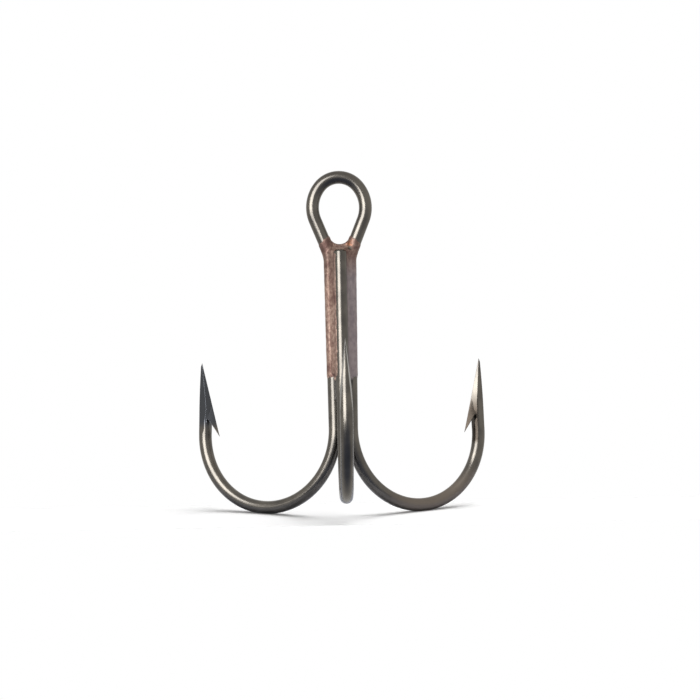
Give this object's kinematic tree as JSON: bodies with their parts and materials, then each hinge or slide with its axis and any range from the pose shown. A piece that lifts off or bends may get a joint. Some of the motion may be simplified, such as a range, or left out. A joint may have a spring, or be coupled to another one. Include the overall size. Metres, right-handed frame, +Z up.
{
  "type": "treble hook",
  "caption": "Treble hook with a teardrop eye: a double hook bent from one wire, and a straight-shank single hook brazed into the groove between its legs; barbed points.",
  "frame": {"origin": "middle of the eye, where the ring or line goes through", "axes": "+Z up along the shank from the bends to the eye; +Y along the eye's opening, away from the single hook, which points along -Y; +X towards the right-hand one of the double hook's points, seen from the single hook's side"},
  "size_m": [0.0424, 0.0365, 0.0499],
  "materials": {
    "black_nickel_steel": "high-carbon steel wire under glossy dark nickel plating",
    "brazing_alloy": "brazing alloy, dull reddish brown and mottled under the plating"
  },
  "bodies": {
    "root": {"double_hook": "black_nickel_steel", "single_hook": "black_nickel_steel", "brazing_alloy": "brazing_alloy"}
  },
  "joints": []
}
